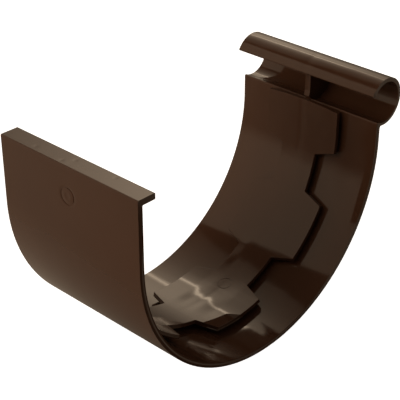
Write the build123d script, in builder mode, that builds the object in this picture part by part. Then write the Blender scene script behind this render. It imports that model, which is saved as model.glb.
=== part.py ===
from build123d import *

import os
from math import cos, hypot, radians, sin, sqrt, tan

# Gutter union for a half-round rainwater gutter, moulded in one piece.
# Two gutter ends slide in along X from either side, into the slot between the band and the inner
# tongue, until they stop on the central web. Their front beads slide into the C-shaped socket.
# X runs along the gutter, +Y points to the front, +Z is up, and the origin lies on the axis of the
# half-round at the middle of the union. Lengths are millimetres, angles are degrees.

# Gutter that the union joins
gutter_diameter = 125.0
gutter_wall = 1.5
gutter_play = 0.25

# Band
band_width = 68.2
band_wall = 2.05
back_height = 27.0

# Lip along the top of the back wall
lip_reach = 7.75
lip_thickness = 2.4
lip_round = 0.45
lip_root_round = 0.35

# Socket for the gutter's front bead, with its centre given from the gutter's outside and its axis
bead_diameter = 16.0
bead_play = 0.4
bead_out = 4.8
bead_rise = 15.95
arm_wall = 1.4
arm_swell = 0.25
arm_end_angle = 152.0
arm_end_round = 0.55
sill_round = 0.5
socket_root_round = 0.8

# Central web, which is also the stop for both gutter ends
web_thickness = 2.6
web_drop = 2.2
rib_inset = 0.75
rib_top = 19.0
rib_foot_top = 12.3
rib_foot_height = 2.3
rib_foot_reach = 0.5

# Tongue inside the gutter, with a stepped outline: wide blocks and narrow necks by turns
tongue_thickness = 1.65
tongue_half_width = 17.6
neck_half_width = 8.4
neck_count = 4
neck_pitch = 45.0
first_neck_angle = 19.7
neck_half_angle = 7.7
notch_half_angle = 10.7
notch_corner_round = 0.6
block_corner_round = 0.5
tongue_back_height = 18.0
tongue_front_height = 9.3
tongue_crown_radius = 180.0
tongue_edge_round = 0.12

# Round mould marks, sunk into the tongue and the back wall
tongue_mark_radius = 3.0
tongue_mark_angle = 76.5
tongue_mark_depth = 0.06
back_mark_radius = 3.4
back_mark_height = 15.5
back_mark_depth = 0.15
mark_groove = 0.35

# Radii and places that follow from the sizes above
seat_radius = gutter_diameter / 2 + gutter_play
band_radius = seat_radius + band_wall
slot_gap = gutter_wall + 2 * gutter_play
tongue_outer_radius = seat_radius - slot_gap
tongue_inner_radius = tongue_outer_radius - tongue_thickness
lip_underside = back_height - lip_thickness
lip_edge = lip_reach - band_radius
bead_y = gutter_diameter / 2 + bead_out
bore_radius = bead_diameter / 2 + bead_play
socket_radius = bore_radius + arm_wall
socket_z = bead_rise + arm_swell
sill_height = bead_rise - sqrt(bore_radius**2 - (bead_y - seat_radius) ** 2)
root_height = socket_z - sqrt(socket_radius**2 - (bead_y - band_radius) ** 2)
arm_end_y = bead_y + bore_radius * cos(radians(arm_end_angle))
arm_end_z = bead_rise + bore_radius * sin(radians(arm_end_angle))
beyond = 2 * socket_radius


def around(radius, angle):
    """Point (y, z) at a radius from the gutter's axis, at an angle below the front."""
    return (radius * cos(radians(angle)), -radius * sin(radians(angle)))


def about_bead(radius, height, angle):
    """Point (y, z) at a radius from the bead's axis, or from one above it, at an angle from +Y."""
    return (bead_y + radius * cos(radians(angle)), height + radius * sin(radians(angle)))


def channel(outer, inner, front, back):
    """Edges in (y, z) of a half-round channel with straight walls."""
    with BuildLine() as outline:
        Polyline((-inner, 0), (-inner, back), (-outer, back), (-outer, 0))
        ThreePointArc((-outer, 0), (0, -outer), (outer, 0))
        Polyline((outer, 0), (outer, front), (inner, front), (inner, 0))
        ThreePointArc((inner, 0), (0, -inner), (-inner, 0))
    return outline.edges()


def on_inner_face(edge):
    """Whether an edge lies on the tongue's inner face, other than where its wall meets its curve."""
    middle = edge.center()
    depth = hypot(middle.Y, min(middle.Z, 0))
    return abs(depth - tongue_inner_radius) < tongue_edge_round and abs(middle.Z) > tongue_edge_round


with BuildPart() as gutter_union:
    # Inner tongue: a thin half-round plate, with its front edge crowned over the web
    with BuildSketch(Plane.YZ):
        make_face(
            channel(
                tongue_outer_radius,
                tongue_inner_radius,
                tongue_front_height + tongue_thickness,
                tongue_back_height,
            )
        )
    extrude(amount=tongue_half_width, both=True)
    with BuildSketch(Plane.XZ):
        Rectangle(band_width, band_radius, align=(Align.CENTER, Align.MIN))
        with Locations((0, tongue_front_height - tongue_crown_radius)):
            Circle(tongue_crown_radius, mode=Mode.SUBTRACT)
    extrude(amount=-band_radius, mode=Mode.SUBTRACT)

    # Notches between the tongue's blocks, cut from both sides at an even pitch round the gutter
    neck_half_length = tongue_inner_radius * tan(radians(neck_half_angle))
    notch_half_length = tongue_inner_radius * tan(radians(notch_half_angle))
    notch_depth = tongue_half_width - neck_half_width
    step = (notch_half_length - neck_half_length) / notch_depth
    outside_half_length = notch_half_length + step * notch_depth
    for index in range(neck_count):
        angle = first_neck_angle + index * neck_pitch
        for side in (-1, 1):
            place = Plane(
                origin=(0, *around(tongue_inner_radius, angle)),
                x_dir=(side, 0, 0),
                z_dir=(0, *around(1, angle)),
            )
            with BuildSketch(place) as notch:
                with BuildLine():
                    Polyline(
                        (neck_half_width, -neck_half_length),
                        (neck_half_width, neck_half_length),
                        (tongue_half_width + notch_depth, outside_half_length),
                        (tongue_half_width + notch_depth, -outside_half_length),
                        close=True,
                    )
                make_face()
                fillet(notch.vertices().group_by(Axis.X)[0], radius=notch_corner_round)
            extrude(amount=2 * slot_gap, both=True, mode=Mode.SUBTRACT)

    # Corners of the tongue's blocks, and the outline of its inner face
    block_corners = (
        gutter_union.edges()
        .filter_by(GeomType.LINE)
        .filter_by(lambda edge: abs(edge.center().X) > tongue_half_width - block_corner_round)
        .filter_by(lambda edge: edge.length < 2 * tongue_thickness)
    )
    fillet(block_corners, radius=block_corner_round)
    fillet(gutter_union.edges().filter_by(on_inner_face), radius=tongue_edge_round)

    # Band with its straight walls, the lip and the socket, as one profile along the gutter
    with BuildSketch(Plane.YZ) as profile:
        with Locations((bead_y, socket_z)):
            Circle(socket_radius)
        with BuildLine():
            Polyline(
                (bead_y, socket_z),
                about_bead(beyond, socket_z, arm_end_angle),
                (seat_radius - beyond, 0),
                (seat_radius, 0),
                (seat_radius, socket_z),
                close=True,
            )
        make_face(mode=Mode.SUBTRACT)
        make_face(channel(band_radius, seat_radius, bead_rise, back_height))
        with BuildLine():
            Polyline(
                (-band_radius, back_height),
                (-band_radius, lip_underside),
                (lip_edge, lip_underside),
                (lip_edge, back_height),
                close=True,
            )
        make_face()
        with Locations((bead_y, bead_rise)):
            Circle(bore_radius, mode=Mode.SUBTRACT)

        def corner(point):
            """Corner of the profile that lies nearest to a point (y, z)."""
            return profile.vertices().sort_by_distance((*point, 0))[0]

        fillet(corner((seat_radius, sill_height)), radius=sill_round)
        fillet(corner((band_radius, root_height)), radius=socket_root_round)
        fillet(corner(about_bead(socket_radius, socket_z, arm_end_angle)), radius=arm_end_round)
        fillet(corner(about_bead(bore_radius, bead_rise, arm_end_angle)), radius=arm_end_round)
        fillet(corner((-seat_radius, lip_underside)), radius=lip_root_round)
        fillet(corner((-band_radius, back_height)), radius=lip_round)
        fillet(corner((lip_edge, back_height)), radius=lip_round)
        fillet(corner((lip_edge, lip_underside)), radius=lip_round)
    extrude(amount=band_width / 2, both=True)

    # Central web between the band and the tongue, from inside the slot's mouth round to the lip
    with BuildSketch(Plane.YZ):
        make_face(
            channel(
                seat_radius + band_wall / 2,
                tongue_outer_radius - tongue_thickness / 2,
                sill_height - web_drop,
                lip_underside + lip_thickness / 2,
            )
        )
    extrude(amount=web_thickness / 2, both=True)

    # Rib that closes the socket in the middle, in line with the web, with a small foot at the mouth
    rib_front = seat_radius - rib_inset
    with BuildSketch(Plane.YZ):
        with Locations((bead_y, socket_z)):
            Circle(socket_radius - arm_wall / 2)
        with BuildLine():
            Polyline(
                (bead_y, socket_z + beyond),
                (arm_end_y, socket_z + beyond),
                (arm_end_y, arm_end_z),
                (rib_front, rib_top),
                (rib_front, rib_foot_top),
                (rib_front - rib_foot_reach, rib_foot_top - rib_foot_height),
                (seat_radius, sill_height),
                (seat_radius, root_height),
                (bead_y + beyond, root_height),
                (bead_y + beyond, socket_z + beyond),
                close=True,
            )
        make_face(mode=Mode.INTERSECT)
    extrude(amount=web_thickness / 2, both=True)

    # Round mould marks, each sketched on the floor of its groove
    tongue_mark_place = Plane(
        origin=(0, *around(tongue_inner_radius + tongue_mark_depth, tongue_mark_angle)),
        x_dir=(1, 0, 0),
        z_dir=(0, *around(-1, tongue_mark_angle)),
    )
    back_mark_place = Plane(
        origin=(0, back_mark_depth - band_radius, back_mark_height),
        x_dir=(1, 0, 0),
        z_dir=(0, -1, 0),
    )
    for radius, place in (
        (tongue_mark_radius, tongue_mark_place),
        (back_mark_radius, back_mark_place),
    ):
        with BuildSketch(place):
            Circle(radius)
            Circle(radius - mark_groove, mode=Mode.SUBTRACT)
        extrude(amount=tongue_thickness, mode=Mode.SUBTRACT)

gutter_union.part.label = "gutter_union"
os.makedirs("parts", exist_ok=True)
export_step(gutter_union.part, "parts/gutter_union.step")
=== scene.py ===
from math import cos, e, pi, radians, sin

import bmesh
import bpy
from mathutils import Matrix, Vector


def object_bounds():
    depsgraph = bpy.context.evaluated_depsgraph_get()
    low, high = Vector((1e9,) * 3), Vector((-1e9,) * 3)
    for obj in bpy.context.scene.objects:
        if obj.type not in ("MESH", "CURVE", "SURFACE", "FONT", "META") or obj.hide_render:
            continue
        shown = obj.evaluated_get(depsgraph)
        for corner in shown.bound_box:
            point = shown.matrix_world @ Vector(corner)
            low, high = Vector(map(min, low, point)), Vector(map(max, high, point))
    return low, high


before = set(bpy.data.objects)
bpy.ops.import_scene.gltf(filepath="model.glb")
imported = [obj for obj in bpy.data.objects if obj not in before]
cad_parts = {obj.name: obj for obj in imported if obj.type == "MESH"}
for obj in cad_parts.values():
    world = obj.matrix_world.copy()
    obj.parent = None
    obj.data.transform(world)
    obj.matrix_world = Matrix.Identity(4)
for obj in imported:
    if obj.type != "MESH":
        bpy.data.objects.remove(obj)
cad_low, cad_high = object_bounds()


# Gutter union
# One injection moulding in chocolate-brown PVC, glossy from a polished mould. As it cooled it sank
# a little over the central web, twisted its tongue and opened its band towards the ends.
class Value:
    """A socket in one node tree, with arithmetic on it and a way to add any node after it."""

    def __init__(self, tree, socket):
        self.tree = tree
        self.socket = socket

    def plug(self, target, value):
        """Feeds a socket of the tree with a value, or sets it to a constant."""
        if isinstance(value, Value):
            self.tree.links.new(value.socket, target)
        else:
            target.default_value = value

    def node(self, kind, settings=None, output=0, **inputs):
        """Adds a node: its settings first, then its sockets by name, or by number after a _."""
        made = self.tree.nodes.new(kind)
        for name, setting in (settings or {}).items():
            if name == "stops":
                for element, (position, colour) in zip(made.color_ramp.elements, setting):
                    element.position = position
                    element.color = colour
            else:
                setattr(made, name, setting)
        for name, value in inputs.items():
            key = int(name[1:]) if name[0] == "_" else name.replace("_", " ")
            self.plug(made.inputs[key], value)
        return Value(self.tree, made.outputs[output])

    def maths(self, operation, *values):
        """A Math node on the given values, or on this one alone where none are given."""
        numbered = {f"_{number}": value for number, value in enumerate(values or (self,))}
        return self.node("ShaderNodeMath", {"operation": operation}, **numbered)

    def __add__(self, other):
        return self.maths("ADD", self, other)

    __radd__ = __add__

    def __mul__(self, other):
        return self.maths("MULTIPLY", self, other)

    __rmul__ = __mul__

    def __sub__(self, other):
        return self.maths("SUBTRACT", self, other)

    def __rsub__(self, other):
        return self.maths("SUBTRACT", other, self)

    def __truediv__(self, other):
        return self.maths("DIVIDE", self, other)

    def __pow__(self, other):
        return self.maths("POWER", self, other)

    def __rpow__(self, other):
        return self.maths("POWER", other, self)


def new_material(name):
    """An empty principled material, with its shader and its object coordinates."""
    material = bpy.data.materials.new(name)
    material.use_nodes = True
    tree = material.node_tree
    place = Value(tree, tree.nodes.new("ShaderNodeTexCoord").outputs["Object"])
    return material, tree.nodes["Principled BSDF"], place


def ramp(value, start, end):
    """A soft step, from 0 at start to 1 at end."""
    return value.node(
        "ShaderNodeMapRange",
        {"interpolation_type": "SMOOTHSTEP"},
        Value=value,
        From_Min=start,
        From_Max=end,
    )


def bell(value, middle, half):
    """A soft peak of 1 at the middle."""
    off = (value - middle) / half
    return e ** (off * off * -1.0)


def past(value, edge):
    """How far a value lies past an edge, and 0 before it."""
    return value.maths("MAXIMUM", value - edge, 0.0)


# Brown, slightly cloudy in tint and in gloss
BROWN_DARK = (0.058, 0.0273, 0.0165, 1.0)
BROWN_LIGHT = (0.064, 0.0302, 0.0182, 1.0)
TINT_STOPS = ((0.3, BROWN_DARK), (0.7, BROWN_LIGHT))
CLOUD_SCALE = 38.0
CLOUD_DETAIL = 3.0
GLOSS_ROUGHNESS = 0.08
ROUGHNESS_SPREAD = 0.04
PLASTIC_IOR = 1.5

brown, shader, place = new_material("brown_pvc")
cloud = place.node("ShaderNodeTexNoise", Vector=place, Scale=CLOUD_SCALE, Detail=CLOUD_DETAIL)
tint = place.node("ShaderNodeValToRGB", {"stops": TINT_STOPS}, Fac=cloud)
place.plug(shader.inputs["Base Color"], tint)
place.plug(shader.inputs["Roughness"], GLOSS_ROUGHNESS + (cloud - 0.5) * ROUGHNESS_SPREAD)
shader.inputs["IOR"].default_value = PLASTIC_IOR

# Parts of the moulding, told apart by where a point lies: each pair is where its soft edge starts
# and ends, and a skin is counted from the part's own face
BAND_WALL = 0.00205
SLOT_GAP = 0.002
TONGUE_WALL = 0.00165
TONGUE_HALF_WIDTH = 0.0176
SOCKET_EDGE = (0.0555, 0.058)
BAND_SKIN = (0.00105, 0.00045)
TONGUE_SKIN = (0.0017, 0.0011)
TONGUE_EDGE = (0.0002, 0.0)
BACK_SKIN = (0.0008, 0.0003)
LIP_SKIN = (0.0008, 0.0002)

x, y, z = (place.node("ShaderNodeSeparateXYZ", None, axis, Vector=place) for axis in range(3))
radius = (y * y + z * z).maths("SQRT")
below_front = y.maths("ARCTAN2", 0.0 - z, y) * (180 / pi)
from_middle = x.maths("ABSOLUTE")
seat_radius = -cad_low.y - BAND_WALL
tongue_radius = seat_radius - SLOT_GAP - TONGUE_WALL
on_socket = ramp(y, *SOCKET_EDGE)
inside_band = ramp(radius - seat_radius, *BAND_SKIN)
over_tongue = ramp(radius - tongue_radius, *TONGUE_SKIN)
on_tongue = over_tongue * ramp(from_middle - TONGUE_HALF_WIDTH, *TONGUE_EDGE)
on_back = ramp(y - cad_low.y, *BACK_SKIN)
on_lip = ramp(cad_high.z - z, *LIP_SKIN)

# Slow waves, stronger along the socket, and fine flow lines along the gutter
WAVE_SCALE = 70.0
WAVE_DETAIL = 1.0
WAVE_ROUGHNESS = 0.4
WAVE_HEIGHT = 0.00004
SOCKET_WAVE_HEIGHT = 0.00019
FLOW_SCALE = 420.0
FLOW_STRETCH = (0.12, 1.0, 1.0)
FLOW_HEIGHT = 0.00001

waves = place.node(
    "ShaderNodeTexNoise",
    Vector=place,
    Scale=WAVE_SCALE,
    Detail=WAVE_DETAIL,
    Roughness=WAVE_ROUGHNESS,
)
stretched = place.node("ShaderNodeMapping", Vector=place, Scale=FLOW_STRETCH)
flow = place.node("ShaderNodeTexNoise", Vector=stretched, Scale=FLOW_SCALE)
height = waves * (WAVE_HEIGHT + on_socket * SOCKET_WAVE_HEIGHT) + flow * FLOW_HEIGHT

# Sink over the web, deeper along the socket and at the bottom of the tongue
SINK_HALF = 0.0016
SINK_DEPTH = 0.000006
SOCKET_SINK_DEPTH = 0.000044
BOTTOM_SINK_DEPTH = 0.00003
BOTTOM_EDGE = (70.0, 80.0)

at_bottom = over_tongue * ramp(below_front, *BOTTOM_EDGE)
sink_depth = SINK_DEPTH + on_socket * SOCKET_SINK_DEPTH + at_bottom * BOTTOM_SINK_DEPTH
height = height - bell(x, 0.0, SINK_HALF) * sink_depth

# Band that opens towards both ends, and bends out along the near end of its front wall
FLARE_START = 0.02
FLARE_CURVE = 0.5
BEND_START = 0.0307
BEND_MIDDLE = 20.0
BEND_CURVE = 0.000005
BEND_EDGE = (37.0, 31.0)
BEND_SLOPE = 0.028

flare = past(from_middle, FLARE_START)
bend_line = BEND_START + (below_front - BEND_MIDDLE) ** 2.0 * BEND_CURVE
bend = past(x, bend_line) * ramp(below_front, *BEND_EDGE)
height = height - (flare * flare * FLARE_CURVE + bend * BEND_SLOPE) * inside_band

# Near corner of the tongue's third block, bent towards the band along two lines
CORNER_START = 0.0131
CORNER_ANGLE = 89.5
CORNER_LEAN_ABOVE = 0.0015
CORNER_LEAN_BELOW = 0.00015
CORNER_EDGE = (85.0, 86.0)
CORNER_SLOPE = 0.12

above_corner = CORNER_ANGLE - below_front
lean = x.maths("MAXIMUM", above_corner * CORNER_LEAN_ABOVE, above_corner * CORNER_LEAN_BELOW)
corner = past(x, lean + CORNER_START) * ramp(below_front, *CORNER_EDGE)
height = height - corner * on_tongue * CORNER_SLOPE

# Tongue twisted at its third block, both ways from the web, and at the far side of its second neck
NEAR_SIDE = (0.0015, 0.009)
FAR_SIDE = (-0.0036, -0.0095)
BLOCK_TWIST = (86.0, 8.5)
NECK_TWIST = (62.0, 7.0)
TWIST_SLOPE = 0.056


def twist(middle, half):
    """Degrees past an angle below the front, dying away on both sides of it."""
    return (below_front - middle) * bell(below_front, middle, half)


near_side = ramp(x, *NEAR_SIDE)
far_side = ramp(x, *FAR_SIDE)
twists = (near_side - far_side) * twist(*BLOCK_TWIST) - far_side * twist(*NECK_TWIST)
height = height - twists * on_tongue * (TWIST_SLOPE * tongue_radius * pi / 180)

# Small dents in the lip
DENTS = ((-0.018, -0.0624), (-0.004, -0.063), (-0.0006, -0.0599), (0.018, -0.059))
DENT_HALF = 0.0009
DENT_DEPTH = 0.00003

for dent_x, dent_y in DENTS:
    dent = bell(x, dent_x, DENT_HALF) * bell(y, dent_y, DENT_HALF)
    height = height - dent * on_lip * DENT_DEPTH

# Mould mark on the back wall: a shallow sink along its groove, and a raised ring inside
MARK_HEIGHT = 0.0155
OUTER_RING = (0.0034, 0.0006)
OUTER_RING_DEPTH = 0.00005
INNER_RING = (0.0016, 0.0005)
INNER_RING_RISE = 0.00004

above_mark = z - MARK_HEIGHT
from_mark = (x * x + above_mark * above_mark).maths("SQRT")
rings = bell(from_mark, *INNER_RING) * INNER_RING_RISE - bell(from_mark, *OUTER_RING) * OUTER_RING_DEPTH
height = height + rings * on_back

skin = place.node("ShaderNodeBump", Height=height, Distance=1.0, Strength=1.0)
place.plug(shader.inputs["Normal"], skin)

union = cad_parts["gutter_union"]
union.data.materials.clear()
union.data.materials.append(brown)


# Table
# A sheet of opal glass lit from below, so the union stands on even white without a shadow. Only
# the camera sees it: the plastic neither mirrors it nor gets light from it.
TABLE_HALF = 3.0
OPAL_GREY = (0.8, 0.8, 0.8, 1.0)
WHITE = (1.0, 1.0, 1.0, 1.0)

opal, opal_shader, _ = new_material("opal_glass")
opal_shader.inputs["Base Color"].default_value = OPAL_GREY
opal_shader.inputs["Emission Color"].default_value = WHITE
opal_shader.inputs["Emission Strength"].default_value = 1.0


def lit_sheet(name, form):
    """An object of opal glass that only the camera sees, from a bmesh that it uses up."""
    mesh = bpy.data.meshes.new(name)
    form.to_mesh(mesh)
    form.free()
    mesh.materials.append(opal)
    sheet = bpy.data.objects.new(name, mesh)
    bpy.context.scene.collection.objects.link(sheet)
    sheet.visible_diffuse = False
    sheet.visible_glossy = False
    sheet.visible_shadow = False
    return sheet


top = bmesh.new()
bmesh.ops.create_grid(top, x_segments=1, y_segments=1, size=TABLE_HALF)
bmesh.ops.translate(top, verts=top.verts, vec=(0, 0, cad_low.z))
table = lit_sheet("table", top)


# Backdrop
# A round tent of the same lit opal glass over the table, so the ground behind the union is white
# from every side, also from low down.
TENT_RADIUS = 2.9
TENT_SPLITS = 4

shell = bmesh.new()
bmesh.ops.create_icosphere(shell, subdivisions=TENT_SPLITS, radius=TENT_RADIUS)
tent = lit_sheet("tent", shell)


# Studio
# A dim room with a window, a tube light, a wall and a floor on the far (-X) side, which the glossy
# faces mirror, and with softer lights nearer to the union's middle plane that bring out the brown.
WARM_WHITE = (1.0, 0.79, 0.57, 1.0)
ROOM_LEVEL = 0.03


def toward(azimuth, elevation):
    """Unit vector from degrees round Z, counted from +X, and degrees above the table."""
    level = cos(radians(elevation))
    return Vector(
        (level * cos(radians(azimuth)), level * sin(radians(azimuth)), sin(radians(elevation)))
    )


def share(direction, facing):
    """The share of a direction along a unit vector."""
    return direction.node(
        "ShaderNodeVectorMath", {"operation": "DOT_PRODUCT"}, 1, _0=direction, _1=facing
    )


world = bpy.data.worlds.new("room")
world.use_nodes = True
background = world.node_tree.nodes["Background"]
coordinates = world.node_tree.nodes.new("ShaderNodeTexCoord")
direction = Value(world.node_tree, coordinates.outputs["Generated"])

# Every direction as its side, which is its share towards -X, and its turn, which is its angle
# round X in degrees, from the front over the top, counted up to 180 either way from TURN_MIDDLE
TURN_MIDDLE = 140.0

side = share(direction, toward(180, 0))
round_x = direction.maths(
    "ARCTAN2",
    share(direction, toward(90, TURN_MIDDLE + 90)),
    share(direction, toward(90, TURN_MIDDLE)),
)
turn = round_x * (180 / pi) + TURN_MIDDLE

# Window above the front, and the glow round it, which a straight beam cuts off
WINDOW_TURN = (40.0, 20.5)
WINDOW_SIDE = (0.585, 0.105)
WINDOW_LEVEL = 1.3
GLOW_TURN = (50.0, 42.0)
GLOW_SIDE = (0.615, 0.15)
GLOW_LEVEL = 0.82
BEAM_FACING = (141.0, -25.2)
STRAIGHT_EDGE = (-0.01, 0.02)

window = bell(turn, *WINDOW_TURN) * bell(side, *WINDOW_SIDE)
beam = ramp(share(direction, toward(*BEAM_FACING)), *STRAIGHT_EDGE)
glow = bell(turn, *GLOW_TURN) * bell(side, *GLOW_SIDE) * beam
strength = ROOM_LEVEL + window * WINDOW_LEVEL + glow * GLOW_LEVEL

# Tube light in front of the window, parallel to the gutter, with a brighter stretch
TUBE_TURN = (48.5, 1.5)
TUBE_SIDE = (0.44, 0.56)
TUBE_LEVEL = 3.2
BRIGHT_SIDE = (0.568, 0.03)
BRIGHT_LEVEL = 1.4

tube_level = TUBE_LEVEL + bell(side, *BRIGHT_SIDE) * BRIGHT_LEVEL
strength = strength + bell(turn, *TUBE_TURN) * ramp(side, *TUBE_SIDE) * tube_level

# Rear wall with a straight upper edge, and below it the floor, with a lit patch under the union
WALL_TURN = (191.0, 177.0)
WALL_SIDE = (0.24, 0.6)
WALL_FACING = (-119.0, -33.4)
WALL_LEVEL = 0.57
FLOOR_TURN = (177.0, 191.0)
FLOOR_SIDE = (0.4, 0.72)
FLOOR_SLANT = 0.0008
FLOOR_SLANT_START = 185.0
FLOOR_LEVEL = 0.31
PATCH_TURN = (285.0, 45.0)
PATCH_SIDE = (0.62, 0.72)
PATCH_LEVEL = 0.12

wall_top = ramp(share(direction, toward(*WALL_FACING)), *STRAIGHT_EDGE)
wall = wall_top * ramp(turn, *WALL_TURN) * ramp(side, *WALL_SIDE)
slanted_side = side + (FLOOR_SLANT_START - turn) * FLOOR_SLANT
floor = ramp(turn, *FLOOR_TURN) * ramp(slanted_side, *FLOOR_SIDE)
patch = bell(turn, *PATCH_TURN) * ramp(side, *PATCH_SIDE)
strength = strength + wall * WALL_LEVEL + floor * FLOOR_LEVEL + patch * PATCH_LEVEL

# Soft lights from the back, from above and from below, at sides that no broad face mirrors to the
# photo's camera: the turn and half-width of each, and its level
SOFT_LIGHTS = (((172.0, 42.0), 3.75), ((90.0, 35.0), 0.2), ((270.0, 35.0), 0.9))
SOFT_SIDE = (-0.35, 0.2)
SOFT_END = (0.42, 0.34)

soft = ramp(side, *SOFT_END) * ramp(side, *SOFT_SIDE)
for soft_turn, level in SOFT_LIGHTS:
    strength = strength + bell(turn, *soft_turn) * soft * level

# Lights at the near end: one from the front, and a weak one on the end faces
FRONT_TURN = (0.0, 45.0)
FRONT_SIDE = (0.1, -0.5)
FRONT_LEVEL = 0.45
END_SIDE = (-0.6, -0.9)
END_LEVEL = 0.12

front = bell(turn, *FRONT_TURN) * ramp(side, *FRONT_SIDE)
strength = strength + front * FRONT_LEVEL + ramp(side, *END_SIDE) * END_LEVEL

direction.plug(background.inputs["Strength"], strength)
background.inputs["Color"].default_value = WARM_WHITE
bpy.context.scene.world = world


# Camera
# A moderately long lens on a tripod at the near end of the union, looking down over the back
# wall's lip, so the socket's far end is only a little smaller than its near one.
CAMERA_AZIMUTH = radians(43.508)
CAMERA_ELEVATION = radians(29.724)
CAMERA_ROLL = radians(-0.068)
CAMERA_PLACE = Vector((0.27088, -0.28604, 0.21213))
CAMERA_LENS = 107.76
CAMERA_SENSOR = 36.0
CAMERA_NEAR = 0.01
CAMERA_FAR = 20.0

camera_data = bpy.data.cameras.new("camera")
camera_data.lens = CAMERA_LENS
camera_data.sensor_width = CAMERA_SENSOR
camera_data.clip_start = CAMERA_NEAR
camera_data.clip_end = CAMERA_FAR
camera = bpy.data.objects.new("camera", camera_data)
camera.matrix_world = (
    Matrix.Translation(CAMERA_PLACE)
    @ Matrix.Rotation(CAMERA_AZIMUTH, 4, "Z")
    @ Matrix.Rotation(pi / 2 - CAMERA_ELEVATION, 4, "X")
    @ Matrix.Rotation(CAMERA_ROLL, 4, "Z")
)
bpy.context.scene.collection.objects.link(camera)
bpy.context.scene.camera = camera
bpy.context.scene.view_settings.view_transform = "Standard"
